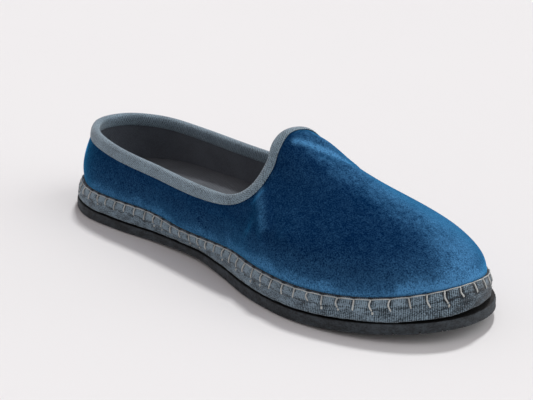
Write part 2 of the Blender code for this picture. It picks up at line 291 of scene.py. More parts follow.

# Band cloth: its weave, and where painted shade falls on it by drop below the velvet or by way to the outer
# front
WANDER_SHARE = 3.0
BAND_PITCH = (0.85 * MM, 0.60 * MM)
BAND_WEAVE_SHARES = (0.32, 0.18)
BAND_WEAVE_RELIEF = 0.5
LOW_DARKENING = (5.0 * MM, 9.0 * MM)
FOLD_DROP = 6.6 * MM
FOLD_WANDER = 4.0 * MM
FOLD_SHADE = (0.1 * MM, 0.8 * MM)
FRONT_WAY = (0.588, 0.809)
FRONT_SHADE = (45.0 * MM, 90.0 * MM)
TUCK_SHARE = 0.9
# Shares of painted shade toward the outer front, darker low down, painted shade along the fold, under the
# velvet's edge and beside each stitch
PAINTED_SHADE_SHARES = (0.24, 0.14, 0.22, 0.50, 0.40)
BAND_SHARES = (0.42, 1.1, 0.75)
BAND_RANGE = (0.70, 1.34)

# Tape, thread, rubber and cotton: shares of their grains in the shade, and the range that gives dark to pale
TAPE_PITCH = (1.16 * MM, 1.00 * MM)
TAPE_WEAVE_RELIEF = 0.6
TAPE_SHARES = (0.4, 0.9, 0.25)
TAPE_RANGE = (0.42, 1.12)
THREAD_SHARES = (0.5, 0.6)
THREAD_RANGE = (0.25, 0.85)
RUBBER_SHARES = (0.9, 0.4, 0.6)
RUBBER_RANGE = (0.7, 1.2)
TWILL_SLANT = (1.0, 0.8, 0.9)
LINING_TWILL = 0.9 * MM
SOCK_TWILL = 1.0 * MM
COTTON_SHARES = (0.35, 0.45, 0.5)
COTTON_RANGE = (0.3, 1.0)
FIBRE_RELIEF = 0.5

# Camera: where it stands from the shoe's origin, what it looks at and its lens on a 36 mm sensor
CAMERA_AZIMUTH = math.radians(50.6)
CAMERA_ELEVATION = math.radians(19.9)
CAMERA_DISTANCE = 0.687
CAMERA_AIM = Vector((0.003, 0.0, 0.026))
CAMERA_LENS = 98.0
NEAREST_SEEN = 0.01

# Studio: a pale floor, a white sweep round the horizon, a key from behind and a broad light by the toe
FLOOR_HALF = 6.0
FLOOR_CELLS = 4
SWEEP_COLOUR = (0.86, 0.845, 0.85)
ZENITH_COLOUR = (0.405, 0.370, 0.375)
SWEEP_HEIGHT = 0.45
KEY_COLOUR = (1.0, 0.995, 0.99)
KEY_STRENGTH = 1.9
KEY_SPREAD = math.radians(7)
KEY_FROM = Vector((-0.38, 0.60, 1.15))
SIDE_COLOUR = (0.97, 0.99, 1.0)
SIDE_STRENGTH = 1.1
SIDE_SPREAD = math.radians(70)
SIDE_FROM = Vector((0.80, 0.62, 0.62))


# Lines and surfaces read from the frame

def welded_copy(node):
    """A CAD node's mesh with its corners merged and its triangles paired into four-sided faces."""
    mesh = bmesh.new()
    mesh.from_mesh(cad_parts[node].data)
    bmesh.ops.remove_doubles(mesh, verts=mesh.verts, dist=WELD)
    bmesh.ops.join_triangles(
        mesh,
        faces=mesh.faces,
        angle_face_threshold=PAIR_FACE_ANGLE,
        angle_shape_threshold=PAIR_SHAPE_ANGLE,
        topology_influence=PAIR_ORDER,
    )
    return mesh


def from_heel(points):
    """A closed line turned to start at the heel and to run along the inner side first."""
    start = min(range(len(points)), key=lambda place: points[place].x)
    turned = points[start:] + points[:start]
    if turned[1].y > turned[-1].y:
        turned = turned[:1] + turned[:0:-1]
    return turned


def sharp_rims(mesh):
    """Each closed line of sharp edges, as its points in order from the heel."""
    left = {edge for edge in mesh.edges if edge.calc_face_angle(0.0) > RIM_ANGLE}
    rims = []
    while left:
        edge = left.pop()
        start, vert = edge.verts
        rim = [start.co.copy()]
        while vert != start:
            rim.append(vert.co.copy())
            step = next(near for near in vert.link_edges if near in left)
            left.discard(step)
            vert = step.other_vert(vert)
        rims.append(from_heel(rim))
    return rims


def line_length(points):
    return sum((after - before).length for before, after in zip(points, points[1:] + points[:1]))


def mean_height(points):
    return sum(point.z for point in points) / len(points)


def even_loop(points, count):
    """Points evenly spaced along a smooth closed curve, a Catmull-Rom spline, through the given ones."""
    spans = [(after - before).length for before, after in zip(points, points[1:] + points[:1])]
    pitch = sum(spans) / count
    made = []
    place = 0
    gone = 0.0
    for step in range(count):
        while gone + spans[place] < step * pitch:
            gone += spans[place]
            place += 1
        t = (step * pitch - gone) / spans[place]
        before, here, there, after = [points[(place + near) % len(points)] for near in (-1, 0, 1, 2)]
        bend = (before * 2 - here * 5 + there * 4 - after) * t**2
        twist = (here * 3 - before - there * 3 + after) * t**3
        made.append((here * 2 + (there - before) * t + (bend + twist)) / 2)
    return made


def outward_of(loop):
    """Level unit vectors that point out of a closed line."""
    found = []
    for place in range(len(loop)):
        along = loop[(place + 1) % len(loop)] - loop[place - 1]
        found.append(Vector((along.y, -along.x, 0.0)).normalized())
    return found


class Surface:
    """A skin that straight lines can be cast onto."""

    def __init__(self, mesh):
        self.tree = BVHTree.FromBMesh(mesh)

    def met(self, start, direction):
        """The point that a line meets first, or the nearest one where it meets none."""
        place = self.tree.ray_cast(start, direction)[0]
        return self.tree.find_nearest(start)[0] if place is None else place

    def top(self, point):
        return self.met(Vector((point.x, point.y, FAR)), -UP).z

    def bottom(self, point):
        return self.met(Vector((point.x, point.y, -FAR)), UP).z


class Line:
    """A closed line through space that tells the nearest place on it."""

    def __init__(self, points):
        self.points = points
        self.length = line_length(points)
        self.tree = kdtree.KDTree(len(points))
        for place, point in enumerate(points):
            self.tree.insert(point, place)
        self.tree.balance()

    def nearest(self, point):
        return self.tree.find(point)[1]

    def way(self, place):
        return place * self.length / len(self.points)


def faded(distance, reach):
    """A soft bell: 1 at no distance, 0 at a reach and beyond."""
    share = min(abs(distance) / reach, 1.0)
    return (1.0 - share**2) ** 2


def ramp(value, start, end):
    """How far a value has come from a start to an end: 0 before, 1 past it."""
    return min(1.0, max(0.0, (value - start) / (end - start)))


# Meshes made with operators

def linked(name, data):
    """A new object in the scene."""
    made = bpy.data.objects.new(name, data)
    bpy.context.scene.collection.objects.link(made)
    return made


def mesh_made_by(maker):
    """The mesh that an object makes with its modifiers or its bevel; the object itself goes."""
    data = bpy.data.meshes.new_from_object(maker.evaluated_get(bpy.context.evaluated_depsgraph_get()))
    made = bmesh.new()
    made.from_mesh(data)
    bpy.data.objects.remove(maker)
    bpy.data.meshes.remove(data)
    return made


def only(kind, parts):
    return [part for part in parts if isinstance(part, kind)]


def extruded_from(vert, fresh):
    """The new vertex that an extrusion drew out of this one."""
    return next(edge.other_vert(vert) for edge in vert.link_edges if edge.other_vert(vert) in fresh)


def tube_of_rows(rows, mark):
    """A skin through closed rows of points, made by extruding a ring of edges from row to row.

    Its vertices get an attribute of the given name, still empty.
    """
    mesh = bmesh.new()
    mesh.verts.layers.float.new(mark)
    ring = bmesh.ops.create_circle(mesh, segments=len(rows[0]), radius=1.0)["verts"]
    edges = list(mesh.edges)
    for vert, point in zip(ring, rows[0]):
        vert.co = point
    rings = [ring]
    for row in rows[1:]:
        made = bmesh.ops.extrude_edge_only(mesh, edges=edges)["geom"]
        fresh = set(only(BMVert, made))
        edges = [edge for edge in only(BMEdge, made) if fresh.issuperset(edge.verts)]
        ring = [extruded_from(vert, fresh) for vert in ring]
        for vert, point in zip(ring, row):
            vert.co = point
        rings.append(ring)
    return mesh, rings


def flat_sheet(outline):
    """One level face inside a closed line."""
    mesh = bmesh.new()
    ring = bmesh.ops.create_circle(mesh, segments=len(outline), radius=1.0)["verts"]
    for vert, point in zip(ring, outline):
        vert.co = (point.x, point.y, 0.0)
    bmesh.ops.contextual_create(mesh, geom=list(mesh.edges))
    return mesh


def close_holes(mesh):
    """Merge corners that all but coincide, fill each open rim and turn all faces outwards."""
    bmesh.ops.remove_doubles(mesh, verts=mesh.verts, dist=CLOSE_CORNERS)
    open_edges = [edge for edge in mesh.edges if edge.is_boundary]
    bmesh.ops.holes_fill(mesh, edges=open_edges, sides=0)
    many_sided = [face for face in mesh.faces if len(face.verts) > MOST_CORNERS]
    bmesh.ops.triangulate(mesh, faces=many_sided, ngon_method="BEAUTY")
    bmesh.ops.recalc_face_normals(mesh, faces=mesh.faces)


def creased(mesh, hardness):
    """Keep the sharp rims of a mesh from rounding too far."""
    layer = mesh.edges.layers.float.new("crease_edge")
    for edge in mesh.edges:
        if edge.calc_face_angle(0.0) > RIM_ANGLE:
            edge[layer] = hardness
    return mesh


def subdivided(mesh, levels):
    """The mesh rounded by subdivision."""
    data = bpy.data.meshes.new("cage")
    mesh.to_mesh(data)
    mesh.free()
    cage = linked("cage", data)
    rounding = cage.modifiers.new("rounding", "SUBSURF")
    rounding.levels = levels
    rounding.render_levels = levels
    made = mesh_made_by(cage)
    bpy.data.meshes.remove(data)
    return made


def wrap_uv(mesh, spot_of, full):
    """UVs in metres along and across a closed strip: spot_of gives both for a vertex."""
    layer = mesh.loops.layers.uv.new("strip")
    for face in mesh.faces:
        spots = [spot_of(loop.vert) for loop in face.loops]
        furthest = max(spot[0] for spot in spots)
        for loop, (along, across) in zip(face.loops, spots):
            if furthest - along > full / 2:
                along += full
            loop[layer].uv = (along, across)


def new_piece(name, mesh, finishes, stands_for=()):
    """An object for one piece that rides on the shoe."""
    data = bpy.data.meshes.new(name)
    mesh.to_mesh(data)
    mesh.free()
    for finish in finishes:
        data.materials.append(finish.material)
    data.shade_smooth()
    piece = linked(name, data)
    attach(piece, "root")
    if stands_for:
        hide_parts(*stands_for)
    return piece


def thread_mesh(paths, radius):
    """Round threads along open paths, each with closed ends."""
    curve = bpy.data.curves.new("thread", "CURVE")
    curve.dimensions = "3D"
    curve.bevel_depth = radius
    curve.bevel_resolution = THREAD_ROUNDING
    curve.use_fill_caps = True
    for path, thickness in paths:
        spline = curve.splines.new("POLY")
        spline.points.add(len(path) - 1)
        for point, place in zip(spline.points, path):
            point.co = (*place, 1.0)
            point.radius = thickness
    mesh = mesh_made_by(linked("thread", curve))
    bpy.data.curves.remove(curve)
    bmesh.ops.remove_doubles(mesh, verts=mesh.verts, dist=WELD)
    bmesh.ops.recalc_face_normals(mesh, faces=mesh.faces)
    return mesh


# Finishes

class Wire:
    """A shader socket that takes part in Python expressions: each operator adds a Math node."""

    def __init__(self, finish, socket):
        self.finish = finish
        self.socket = socket

    def maths(self, operation, first, second=0.0):
        return self.finish.node("ShaderNodeMath", {"operation": operation}, {0: first, 1: second})

    def __add__(self, other):
        return self.maths("ADD", self, other)

    def __radd__(self, other):
        return self.maths("ADD", other, self)

    def __sub__(self, other):
        return self.maths("SUBTRACT", self, other)

    def __rsub__(self, other):
        return self.maths("SUBTRACT", other, self)

    def __mul__(self, other):
        return self.maths("MULTIPLY", self, other)

    def __rmul__(self, other):
        return self.maths("MULTIPLY", other, self)

    def __abs__(self):
        return self.maths("ABSOLUTE", self)

    def sine(self):
        return self.maths("SINE", self)


class Finish:
    """A material in the making: its Principled shader and the nodes that feed it."""

    def __init__(self, name, **constants):
        self.material = bpy.data.materials.new(name)
        self.material.use_nodes = True
        self.tree = self.material.node_tree
        self.shader = self.tree.nodes["Principled BSDF"]
        self.place = self.node("ShaderNodeTexCoord", {}, {}, "Object")
        for socket, value in constants.items():
            self.feed(self.shader.inputs[socket.replace("_", " ")], value)

    def node(self, kind, settings, sockets, output=0):
        """A new node: its settings are made first, then its sockets get their values or links."""
        made = self.tree.nodes.new(kind)
        for name, value in settings.items():
            setattr(made, name, value)
        for name, value in sockets.items():
            self.feed(made.inputs[name], value)
        return Wire(self, made.outputs[output])

    def feed(self, socket, value):
        if isinstance(value, Wire):
            self.tree.links.new(value.socket, socket)
        elif socket.type == "RGBA":
            socket.default_value = (*value, 1.0)
        else:
            socket.default_value = value

    def speckle(self, size, detail, squeeze=None, place=None):
        """Noise from 0 to 1 whose grains are about a size across."""
        place = place or self.place
        if squeeze:
            place = self.node("ShaderNodeVectorMath", {"operation": "MULTIPLY"}, {0: place, 1: squeeze})
        return self.node("ShaderNodeTexNoise", {}, {"Vector": place, "Scale": 1.0 / size, "Detail": detail})

    def between(self, value, low, high):
        """A soft step from 0 at low to 1 at high."""
        settings = {"interpolation_type": "SMOOTHSTEP"}
        return self.node("ShaderNodeMapRange", settings, {"Value": value, "From Min": low, "From Max": high})

    def clamped(self, value):
        return self.node("ShaderNodeClamp", {}, {"Value": value})

    def mixed(self, factor, first, second):
        """A colour between two others."""
        sockets = {MIX_FACTOR: factor, MIX_FIRST: first, MIX_SECOND: second}
        return self.node("ShaderNodeMix", {"data_type": "RGBA"}, sockets, MIX_RESULT)

    def blended(self, values, shares):
        """The sum of some values, each times its share."""
        first, *rest = [value * share for value, share in zip(values, shares)]
        for value in rest:
            first = first + value
        return first

    def part(self, vector, axis):
        """One number of a vector: X, Y or Z."""
        return self.node("ShaderNodeSeparateXYZ", {}, {"Vector": vector}, axis)

    def strip_place(self):
        """The piece's own UVs, in metres along and across its strip."""
        return self.node("ShaderNodeUVMap", {"uv_map": "strip"}, {})

    def attribute(self, name):
        return self.node("ShaderNodeAttribute", {"attribute_name": name}, {}, "Fac")

    def dressed(self, colour, grain, roughness, height, relief):
        """Feed the shader: its colour, a roughness that rises with a grain, and a relief."""
        least, rise = roughness
        depth, strength = relief
        self.feed(self.shader.inputs["Base Color"], colour)
        self.feed(self.shader.inputs["Roughness"], least + grain * rise)
        sockets = {"Height": height, "Distance": depth, "Strength": strength}
        self.feed(self.shader.inputs["Normal"], self.node("ShaderNodeBump", {}, sockets))
        return self


def velvet_finish():
    """Short-pile velvet with painted light: paler where it turns toward the broad side light, at its lower
    edge and along painted highlights on its folds.
    """
    finish = Finish(
        "deep_blue_velvet",
        Sheen_Weight=0.75,
        Sheen_Roughness=0.30,
        Sheen_Tint=(0.06, 0.50, 1.0),
        Specular_IOR_Level=0.0,
    )
    pile = finish.speckle(*PILE)
    brushed = finish.speckle(*BRUSHED)
    patches = finish.speckle(*PATCHES)
    uneven = [patches - MIDDLE, brushed - MIDDLE, pile - MIDDLE]
    # Painted light: the velvet is painted paler where it turns toward the broad side light, most in a band
    # along the crest
    lean = finish.attribute("turned_to_side_light") + finish.blended(uneven, SIDE_LIGHT_SHARES)
    toward_side_light = finish.between(lean, *SIDE_LIGHT_RISE) * (1.0 - finish.between(lean, *SIDE_LIGHT_FALL) * SIDE_LIGHT_FALL_SHARE)
    height = finish.attribute("above_welt") + finish.blended(uneven, HEIGHT_SHARES)
    # Painted bounce light from the floor, together with flattened pile, makes the lower edge and foot paler
    edge = 1.0 - finish.between(height, *EDGE_BOUNCE_ZONE)
    foot = 1.0 - finish.between(height, *FOOT_BOUNCE_ZONE)
    mottle = finish.blended(uneven, MOTTLE_SHARES)
    # The painted side light and bounce light fade toward the heel
    side_and_bounce_light = finish.blended((toward_side_light, edge, foot), ZONE_SHARES) * finish.attribute("painted_light_share")
    # Painted highlights along the folds and an even paleness are added here
    pale_with_painted_light = side_and_bounce_light + finish.attribute("fold_highlight") + PALE_EVERYWHERE
    light = finish.clamped(pale_with_painted_light * (mottle * MOTTLE_ON_PALE + 1.0) + mottle * MOTTLE_ON_DARK + LEAST_LIGHT)
    colour = finish.mixed(light, *VELVET_COLOURS)
    return finish.dressed(colour, pile, VELVET_ROUGHNESS, pile + brushed * BRUSHED_RELIEF, VELVET_RELIEF)


def weave_waves(finish, place, pitches):
    """Waves from -1 to 1 over a strip, one along it and one across it, a little uneven."""
    wander = finish.speckle(*WANDER) * WANDER_SHARE
    turns = [finish.part(place, axis) * (math.tau / pitch) for axis, pitch in zip("XY", pitches)]
    return [(turn + wander).sine() for turn in turns]


def band_finish():
    """Grey-blue woven cloth whose ribs show more than its rows, with painted shade toward the outer front,
    along its fold, under the velvet's edge and beside each stitch, and darker low down.
    """
    finish = Finish("woven_grey_band", Sheen_Weight=0.25, Sheen_Roughness=0.5, Specular_IOR_Level=0.15)
    place = finish.strip_place()
    weave = finish.blended(weave_waves(finish, place, BAND_PITCH), BAND_WEAVE_SHARES) + MIDDLE
    fibres = finish.speckle(*BAND_FIBRES, place)
    stains = finish.speckle(*BAND_STAINS, place)
    drop = finish.part(place, "Y") * -1.0
    low = finish.between(drop, *LOW_DARKENING)
    fold = 1.0 - finish.between(abs(drop + (stains - MIDDLE) * FOLD_WANDER - FOLD_DROP), *FOLD_SHADE)
    to_front = finish.blended([finish.part(finish.place, axis) for axis in "XY"], FRONT_WAY)
    front = finish.between(to_front, *FRONT_SHADE)
    velvet_edge_shadow = 1.0 - finish.between(drop, UNDER_VELVET, UNDER_VELVET + EDGE_DROP * TUCK_SHARE)
    # Painted shade toward the outer front, along the fold, under the velvet's edge and beside each pulled
    # stitch; also darker low down
    painted_shade = finish.blended((front, low, fold, velvet_edge_shadow, finish.attribute("pulled")), PAINTED_SHADE_SHARES)
    shade = finish.between(finish.blended((weave, fibres, stains), BAND_SHARES) - painted_shade, *BAND_RANGE)
    colour = finish.mixed(shade, *BAND_COLOURS)
    return finish.dressed(colour, fibres, BAND_ROUGHNESS, weave * BAND_WEAVE_RELIEF + fibres, BAND_RELIEF)


def tape_finish():
    """Grey tape in a plain weave, one thread over and one under, with a salt and pepper look."""
    finish = Finish("grey_collar_tape", Sheen_Weight=0.25, Sheen_Roughness=0.5, Specular_IOR_Level=0.15)
    ribs, rows = weave_waves(finish, finish.strip_place(), TAPE_PITCH)
    weave = ribs * rows * MIDDLE + MIDDLE
    fibres = finish.speckle(*TAPE_FIBRES)
    worn = finish.speckle(*TAPE_WEAR)
    shade = finish.between(finish.blended((weave, fibres, worn), TAPE_SHARES), *TAPE_RANGE)
    colour = finish.mixed(shade, *TAPE_COLOURS)
    return finish.dressed(colour, fibres, TAPE_ROUGHNESS, weave * TAPE_WEAVE_RELIEF + fibres, TAPE_RELIEF)


def thread_finish(name, colours):
    """Waxed linen thread with a little soil."""
    finish = Finish(name, Specular_IOR_Level=0.25)
    twist = finish.speckle(*THREAD_TWIST)
    soil = finish.speckle(*THREAD_SOIL)
    shade = finish.between(finish.blended((twist, soil), THREAD_SHARES), *THREAD_RANGE)
    return finish.dressed(finish.mixed(shade, *colours), twist, THREAD_ROUGHNESS, twist, THREAD_RELIEF)


def rubber_finish(name, colours):
    """Matte tyre rubber with fine pits, scuffs and a dusty bloom."""
    finish = Finish(name, Specular_IOR_Level=0.35)
    pits = finish.speckle(*RUBBER_PITS)
    bloom = finish.speckle(*RUBBER_BLOOM)
    scuffs = finish.speckle(*RUBBER_SCUFFS)
    shade = finish.between(finish.blended((pits, bloom, scuffs), RUBBER_SHARES), *RUBBER_RANGE)
    return finish.dressed(finish.mixed(shade, *colours), pits, RUBBER_ROUGHNESS, pits, RUBBER_RELIEF)


def cotton_finish(name, colours, twill_pitch):
    """Cotton with a slanting twill line."""
    finish = Finish(name, Sheen_Weight=0.15, Specular_IOR_Level=0.15)
    slant = finish.blended([finish.part(finish.place, axis) for axis in "XYZ"], TWILL_SLANT)
    twill = abs((slant * (math.pi / twill_pitch)).sine())
    fibres = finish.speckle(*COTTON_FIBRES)
    worn = finish.speckle(*COTTON_WEAR)
    shade = finish.between(finish.blended((twill, fibres, worn), COTTON_SHARES), *COTTON_RANGE)
    colour = finish.mixed(shade, *colours)
    return finish.dressed(colour, fibres, COTTON_ROUGHNESS, twill + fibres * FIBRE_RELIEF, COTTON_RELIEF)


# Velvet upper

def line_distance(point, corners):
    """How far a point is from an open line through some corners."""
    best = None
    for start, end in zip(corners, corners[1:]):
        along = end - start
        share = ramp((point - start).dot(along), 0.0, along.length_squared)
        distance = (point - start - along * share).length
        best = distance if best is None else min(best, distance)
    return best


def mark_lining(mesh):
    """Give the inner side of the wall, past its rims, the lining's material."""
    mesh.faces.ensure_lookup_table()
    front = max(mesh.faces, key=lambda face: face.calc_center_median().x)
    outside = {front}
    waiting = [front]
    while waiting:
        face = waiting.pop()
        for edge in face.edges:
            if edge.calc_face_angle(0.0) > RIM_ANGLE:
                continue
            for near in edge.link_faces:
                if near not in outside:
                    outside.add(near)
                    waiting.append(near)
    for face in mesh.faces:
        face.material_index = VELVET_SIDE if face in outside else LINING_SIDE


def hand_lines(lines, unit):
    """Listed lines in metres, with what each adds, in its own unit, and how far it reaches."""
    return [([Vector(corner) * MM for corner in corners], strength * unit, reach * MM)
            for corners, strength, reach in lines]


def added_by(lines, point):
    """What the listed lines near a point add there."""
    added = 0.0
    for corners, strength, reach in lines:
        added += strength * faded(line_distance(point, corners), reach)
    return added


def outside_surface(mesh):
    """The velvet side alone, for the way out of the wall."""
    copy = mesh.copy()
    inner = [face for face in copy.faces if face.material_index == LINING_SIDE]
    bmesh.ops.delete(copy, geom=inner, context="FACES")
    surface = Surface(copy)
    copy.free()
    return surface


def make_velvet_upper(welt_line, collar_line):
    """The velvet and its lining as one soft wall, with listed creases; gives back the velvet's side."""
    mesh = welded_copy("upper")
    mark_lining(mesh)
    mesh = subdivided(creased(mesh, RIM_HARDNESS), UPPER_LEVELS)
    mesh.normal_update()
    outside = outside_surface(mesh)
    creases = hand_lines(CREASES, MM)
    fold_highlight_lines = hand_lines(FOLD_HIGHLIGHTS, 1.0)
    above = mesh.verts.layers.float.new("above_welt")
    fold_highlight = mesh.verts.layers.float.new("fold_highlight")
    lean = mesh.verts.layers.float.new("turned_to_side_light")
    painted_light_layer = mesh.verts.layers.float.new("painted_light_share")
    moves = []
    for vert in mesh.verts:
        normal = outside.tree.find_nearest(vert.co)[1]
        welt = welt_line.points[welt_line.nearest(vert.co)]
        vert[above] = vert.co.z - welt.z
        # Painted highlights along the folds
        vert[fold_highlight] = added_by(fold_highlight_lines, vert.co)
        # How far the velvet turns toward the broad side light, for its painted light, which fades toward the
        # heel
        vert[lean] = vert.normal.dot(SIDE_LIGHT_TOWARD)
        vert[painted_light_layer] = PAINTED_LIGHT_LEAST + (1.0 - PAINTED_LIGHT_LEAST) * ramp(vert.co.x, PAINTED_LIGHT_FADE_START, PAINTED_LIGHT_FADE_END)
        from_collar = (vert.co - collar_line.points[collar_line.nearest(vert.co)]).length
        settled = min(ramp(vert[above], 0.0, SETTLE_HEIGHT), ramp(from_collar, UNDER_TAPE, CLEAR_OF_TAPE))
        wave = CLOTH_WAVE * noise.noise(vert.co / CLOTH_WAVE_SIZE)
        turned = VELVET_TURN_IN * (1.0 - ramp(vert[above], 0.0, VELVET_TURN_REACH))
        moves.append(normal * (added_by(creases, vert.co) + wave) * settled - UP * turned)
    for vert, move in zip(mesh.verts, moves):
        vert.co += move
    finishes = [velvet_finish(), cotton_finish("lining_cotton", LINING_COLOURS, LINING_TWILL)]
    new_piece("velvet_upper", mesh, finishes, ["upper"])
    return outside


def make_collar_tape(line, velvet):
    """The tape over the collar, rounded, its outer edge sewn down, with UVs along and across it."""
    mesh = subdivided(welded_copy("collar_binding"), TAPE_LEVELS)
    for vert in mesh.verts:
        below, normal = velvet.tree.find_nearest(vert.co)[:2]
        down = (vert.co - line.points[line.nearest(vert.co)]).length
        if (vert.co - below).dot(normal) > 0.0:
            vert.co -= (vert.co - below) * TAPE_PRESS * ramp(down, TAPE_PRESS_START, TAPE_PRESS_END)

    def spot_of(vert):
        place = line.nearest(vert.co)
        return line.way(place), (vert.co - line.points[place]).length

    wrap_uv(mesh, spot_of, line.length)
    new_piece("collar_tape", mesh, [tape_finish()], ["collar_binding"])


# Woven band and its blanket stitches

def stitch_ways(line):
    """Places of the blanket stitches along the welt, a little uneven as by hand."""
    chance = random.Random(STITCH_SEED)
    count = round(line.length / STITCH_PITCH)
    even = [step * line.length / count for step in range(count)]
    return [way + chance.uniform(-STITCH_JITTER, STITCH_JITTER) for way in even]


def nearest_stitch(way, ways, full):
    """Distance along the welt to the nearest stitch."""
    return min(abs((way - other + full / 2) % full - full / 2) for other in ways)


def toe_lift(point):
    """How far round the toe a point is: 0 behind the ball, 1 at the tip."""
    return ramp(point.x, TOE_LIFT_START, TOE_LIFT_END) ** 2


def band_span(welt_line, outward, midsole):
    """The heights of the band's lower and upper edge at each place round the shoe."""
    found = []
    for welt, side in zip(welt_line.points, outward):
        low = midsole.bottom(welt - side * UNDER_WELT) + BAND_TOE_LIFT * toe_lift(welt)
        found.append((low, welt.z - WELT_GAP))
    return found


def band_foot_swell(side):
    """How far the band's foot stands out: less at the toe's outer front, where the rubber shows past it."""
    return BAND_FOOT_SWELL - BAND_TOE_DRAW * ramp(side.dot(OUTER_FRONT), BAND_DRAW_START, BAND_DRAW_END)


def stitch_hold(share):
    """How firmly a stitch holds the cloth at a share of the band's height."""
    return faded(share - EDGE_SHARE, STITCH_HOLD_SHARE)


def band_stand_off(share, pull, side):
    """How far the cloth stands off the midsole's side at a share of its height."""
    swell = BAND_SWELL * math.sin(math.pi * share) + band_foot_swell(side) * (1.0 - share)
    stitched = STITCH_PULL * pull * stitch_hold(share)
    fold_here = max(0.0, noise.noise(side / BAND_FOLD_SIZE) + BAND_FOLD_COVER)
    fold = BAND_FOLD_DEPTH * faded(share - BAND_FOLD_SHARE, BAND_FOLD_REACH) * fold_here
    ripple_sizes = (BAND_WRINKLE_LENGTH, BAND_WRINKLE_LENGTH, BAND_WRINKLE_HEIGHT)
    rippled = Vector([place / size for place, size in zip(side, ripple_sizes)])
    wrinkle = BAND_WRINKLE * noise.noise(rippled) * max(0.0, 1.0 - share / EDGE_SHARE)
    curl = BAND_CURL * max(0.0, 1.0 - (share - BAND_LOW_SHARE) / BAND_CURL_SHARE) ** 2
    slack = BAND_SLACK * noise.noise(side / BAND_SLACK_SIZE) * (1.0 - share)
    return swell + slack + wrinkle - stitched - fold - curl


class BandCloth:
    """The band's cloth as columns of points round the shoe, each from its lower edge up to the velvet."""

    def __init__(self, columns, length):
        self.columns = columns
        self.length = length

    def tuck(self, place, inner):
        """How much cloth lies hidden between an inner point and the top of a column."""
        return (self.columns[place][-1] - inner).length

    def height(self, way):
        """The cloth's length from the velvet down to its lower edge."""
        column = self.columns[int(way / self.length * len(self.columns)) % len(self.columns)]
        return sum((upper - lower).length for upper, lower in zip(column, column[1:])) - UNDER_VELVET

    def on_column(self, place, drop):
        """The point that is a drop below the velvet's edge, along one column."""
        left = drop + UNDER_VELVET
        column = self.columns[place % len(self.columns)][::-1]
        for upper, lower in zip(column, column[1:]):
            step = (lower - upper).length
            if left <= step:
                return upper.lerp(lower, left / step)
            left -= step
        return column[-1]

    def laid(self, way, drop, lift):
        """A point a lift above the cloth, at a way round the shoe and a drop below the velvet's edge."""
        place = way % self.length / self.length * len(self.columns)
        near = int(place)
        here = self.on_column(near, drop).lerp(self.on_column(near + 1, drop), place % 1.0)
        along = self.on_column(near + NEAR_COLUMNS, drop) - self.on_column(near - NEAR_COLUMNS, drop)
        down = self.on_column(near, drop + THREAD_RADIUS) - self.on_column(near, drop - THREAD_RADIUS)
        return here + down.cross(along).normalized() * lift


def make_woven_band(welt_line, outward, midsole, span, ways):
    """The cloth midsole: its woven side, pulled in at each stitch, and its hidden top and underside."""
    columns = []
    pulls = []
    tucked_low = []
    tucked_high = []
    for place, welt in enumerate(welt_line.points):
        side = outward[place]
        low, high = span[place]
        inside = welt - side * INSIDE
        centre = Vector((inside.x, inside.y, (low + high) / 2))
        edge_height = low + (high - low) * BAND_LOW_SHARE
        edge = midsole.met(Vector((inside.x, inside.y, edge_height)), side)
        lowest = math.atan2(edge_height - centre.z, (edge - inside).dot(side))
        highest = math.atan2(high - centre.z, INSIDE - UNDER_VELVET)
        pull = faded(nearest_stitch(welt_line.way(place), ways, welt_line.length), STITCH_PULL_REACH)
        column = []
        for step in range(BAND_STEPS + 1):
            share = step / BAND_STEPS
            angle = lowest + (highest - lowest) * share
            way_out = side * math.cos(angle) + UP * math.sin(angle)
            met = midsole.met(centre, way_out)
            column.append(met + way_out * band_stand_off(share, pull, met))
        columns.append(column)
        pulls.append(pull)
        tucked_low.append(Vector((inside.x, inside.y, low)))
        tucked_high.append(Vector((inside.x, inside.y, high)))
    cloth = BandCloth(columns, welt_line.length)
    mesh, rings = tube_of_rows([tucked_low, *zip(*columns), tucked_high], "pulled")
    pulled = mesh.verts.layers.float["pulled"]
    # How hard each stitch pulls the cloth, also used for painted shade beside the stitches
    for step, ring in enumerate(rings[1:-1]):
        for vert, pull in zip(ring, pulls):
            vert[pulled] = pull * stitch_hold(step / BAND_STEPS)
    spots = {}
    for place in range(len(columns)):
        across = 0.0
        above = rings[-1][place]
        for ring in rings[::-1]:
            across -= (ring[place].co - above.co).length
            above = ring[place]
            spots[above] = (welt_line.way(place), across + cloth.tuck(place, tucked_high[place]))
    wrap_uv(mesh, spots.get, welt_line.length)
    close_holes(mesh)
    new_piece("woven_band", mesh, [band_finish()], ["cloth_midsole"])
    return cloth


